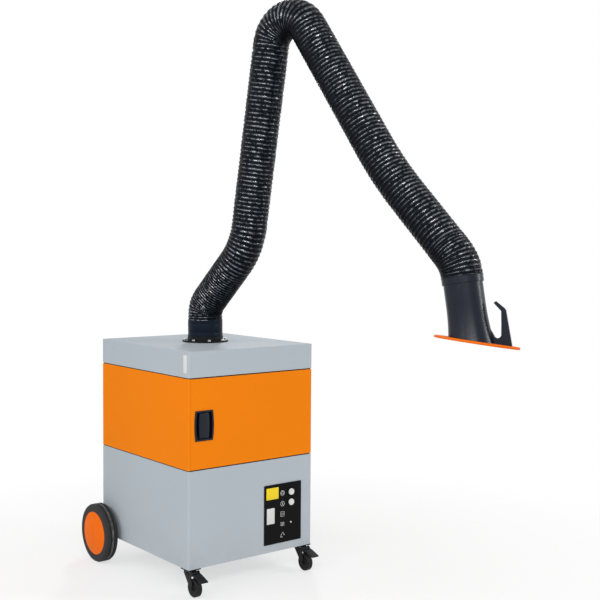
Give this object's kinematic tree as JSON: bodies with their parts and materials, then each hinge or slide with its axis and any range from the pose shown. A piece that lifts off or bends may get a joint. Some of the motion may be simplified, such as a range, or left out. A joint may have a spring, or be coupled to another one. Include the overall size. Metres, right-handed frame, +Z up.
{
  "type": "mobile welding fume extractor",
  "caption": "Mobile fume extractor: a steel filter cabinet on wheels and braked casters with a hinged door, fan and a hose-covered jointed arm ending in a hood with a hook handle.",
  "frame": {"origin": "on the floor under the centre of the cabinet, on the swivel axis of the arm", "axes": "+X right, front faces -Y, +Z up"},
  "size_m": [0.804, 1.9601, 2.4384],
  "materials": {
    "grey_paint": "powder coat",
    "orange_paint": "powder coat",
    "black_paint": "satin",
    "seal_rubber": "matt",
    "hose_skin": "satin",
    "black_plastic": "satin",
    "white_plastic": "gloss",
    "lamp_lens": "gloss",
    "orange_plastic": "satin",
    "tyre_rubber": "matt",
    "rim_plastic": "satin",
    "caster_rubber": "matt",
    "bare_steel": "zinc plated",
    "cast_aluminium": "as cast",
    "filter_medium": "felt"
  },
  "bodies": {
    "cabinet": {"base_cabinet": "grey_paint", "filter_housing": "orange_paint", "top_cover": "grey_paint", "section_seals": "seal_rubber", "door_gasket": "seal_rubber", "hinge_leaves": "black_paint", "control_panel": "black_plastic", "control_box": "grey_paint", "status_lamp": "lamp_lens", "cable_gland": "black_plastic", "outlet_grille": "grey_paint", "rear_axle": "bare_steel", "axle_blocks": "bare_steel", "caster_plates": "black_paint", "filter_rails": "bare_steel", "filter_frame": "cast_aluminium", "filter_pleats": "filter_medium", "prefilter_mat": "filter_medium", "spark_trap": "bare_steel", "fan_deck": "bare_steel", "inlet_cone": "bare_steel", "fan_casing": "bare_steel", "fan_motor": "cast_aluminium", "arm_flange": "black_paint", "flange_bolts": "bare_steel"},
    "door": {"door_panel": "orange_paint", "door_knuckles": "black_paint", "latch_dish": "black_plastic"},
    "latch": {"latch_paddle": "black_plastic"},
    "start_button": {"start_button": "white_plastic"},
    "stop_button": {"stop_button": "white_plastic"},
    "impeller": {"impeller": "cast_aluminium"},
    "wheel_right": {"tyre_right": "tyre_rubber", "rim_right": "rim_plastic", "cap_right": "orange_plastic"},
    "wheel_left": {"tyre_left": "tyre_rubber", "rim_left": "rim_plastic", "cap_left": "orange_plastic"},
    "caster_right": {"caster_fork_right": "black_paint"},
    "caster_left": {"caster_fork_left": "black_paint"},
    "caster_wheel_right": {"caster_wheel_right": "caster_rubber"},
    "caster_wheel_left": {"caster_wheel_left": "caster_rubber"},
    "brake_pedal_right": {"brake_pedal_right": "black_paint"},
    "brake_pedal_left": {"brake_pedal_left": "black_paint"},
    "arm_base": {"swivel_ring": "black_paint", "pedestal": "bare_steel", "hose_base": "hose_skin", "hose_shoulder": "hose_skin"},
    "lower_arm": {"lower_link": "bare_steel", "hose_lower": "hose_skin", "hose_elbow": "hose_skin"},
    "upper_arm": {"upper_link": "bare_steel", "hose_upper": "hose_skin", "hose_wrist": "hose_skin"},
    "wrist": {"wrist_yoke": "bare_steel", "hose_clamp": "black_plastic"},
    "hood": {"hood_shell": "black_plastic", "hood_rim": "orange_plastic", "hood_guard": "black_plastic"}
  },
  "joints": [
    {"name": "door_swing", "type": "hinge", "parent": "cabinet", "child": "door", "pos_m": [0.3255, -0.3395, 0.70625], "axis": [0, 0, 1], "range_deg": [0, 110]},
    {"name": "latch_pull", "type": "hinge", "parent": "door", "child": "latch", "pos_m": [-0.229, -0.361, 0.69875], "axis": [0, 0, 1], "range_deg": [0, 38], "stiffness_Nm_per_rad": 0.4},
    {"name": "start_press", "type": "slide", "parent": "cabinet", "child": "start_button", "axis": [0, 1, 0], "range_m": [0, 0.003], "stiffness_N_per_m": 600},
    {"name": "stop_press", "type": "slide", "parent": "cabinet", "child": "stop_button", "axis": [0, 1, 0], "range_m": [0, 0.003], "stiffness_N_per_m": 600},
    {"name": "impeller_spin", "type": "hinge", "parent": "cabinet", "child": "impeller", "pos_m": [0, 0, 0.41], "axis": [0, 0, 1], "continuous": true},
    {"name": "wheel_spin_right", "type": "hinge", "parent": "cabinet", "child": "wheel_right", "pos_m": [0.366, 0.31, 0.13], "axis": [1, 0, 0], "continuous": true},
    {"name": "caster_swivel_right", "type": "hinge", "parent": "cabinet", "child": "caster_right", "pos_m": [0.289, -0.335, 0.108], "axis": [0, 0, 1], "continuous": true},
    {"name": "caster_spin_right", "type": "hinge", "parent": "caster_right", "child": "caster_wheel_right", "pos_m": [0.289, -0.367, 0.0375], "axis": [1, 0, 0], "continuous": true},
    {"name": "brake_right", "type": "hinge", "parent": "caster_right", "child": "brake_pedal_right", "pos_m": [0.289, -0.3665, 0.096], "axis": [1, 0, 0], "range_deg": [0, 12]},
    {"name": "wheel_spin_left", "type": "hinge", "parent": "cabinet", "child": "wheel_left", "pos_m": [-0.366, 0.31, 0.13], "axis": [1, 0, 0], "continuous": true},
    {"name": "caster_swivel_left", "type": "hinge", "parent": "cabinet", "child": "caster_left", "pos_m": [-0.289, -0.335, 0.108], "axis": [0, 0, 1], "continuous": true},
    {"name": "caster_spin_left", "type": "hinge", "parent": "caster_left", "child": "caster_wheel_left", "pos_m": [-0.289, -0.367, 0.0375], "axis": [1, 0, 0], "continuous": true},
    {"name": "brake_left", "type": "hinge", "parent": "caster_left", "child": "brake_pedal_left", "pos_m": [-0.289, -0.3665, 0.096], "axis": [1, 0, 0], "range_deg": [0, 12]},
    {"name": "arm_swivel", "type": "hinge", "parent": "cabinet", "child": "arm_base", "pos_m": [0, 0, 1.0115], "axis": [0, 0, 1], "continuous": true},
    {"name": "shoulder", "type": "hinge", "parent": "arm_base", "child": "lower_arm", "pos_m": [0.04238, -0.24035, 1.43094], "axis": [0.9848, 0.1736, 0], "range_deg": [-20, 35], "deforming": ["hose_shoulder"]},
    {"name": "elbow", "type": "hinge", "parent": "lower_arm", "child": "upper_arm", "pos_m": [0.08345, -0.47328, 2.35849], "axis": [-0.9848, -0.1736, 0], "range_deg": [-8, 95], "deforming": ["hose_elbow"]},
    {"name": "hood_tilt", "type": "hinge", "parent": "upper_arm", "child": "wrist", "pos_m": [0.23034, -1.3063, 1.37122], "axis": [0.9848, 0.1736, 0], "range_deg": [-40, 40], "deforming": ["hose_wrist"]},
    {"name": "hood_turn", "type": "hinge", "parent": "wrist", "child": "hood", "pos_m": [0.23298, -1.32131, 1.32423], "axis": [-0.0302, 0.171, 0.9848], "range_deg": [-90, 90]}
  ]
}
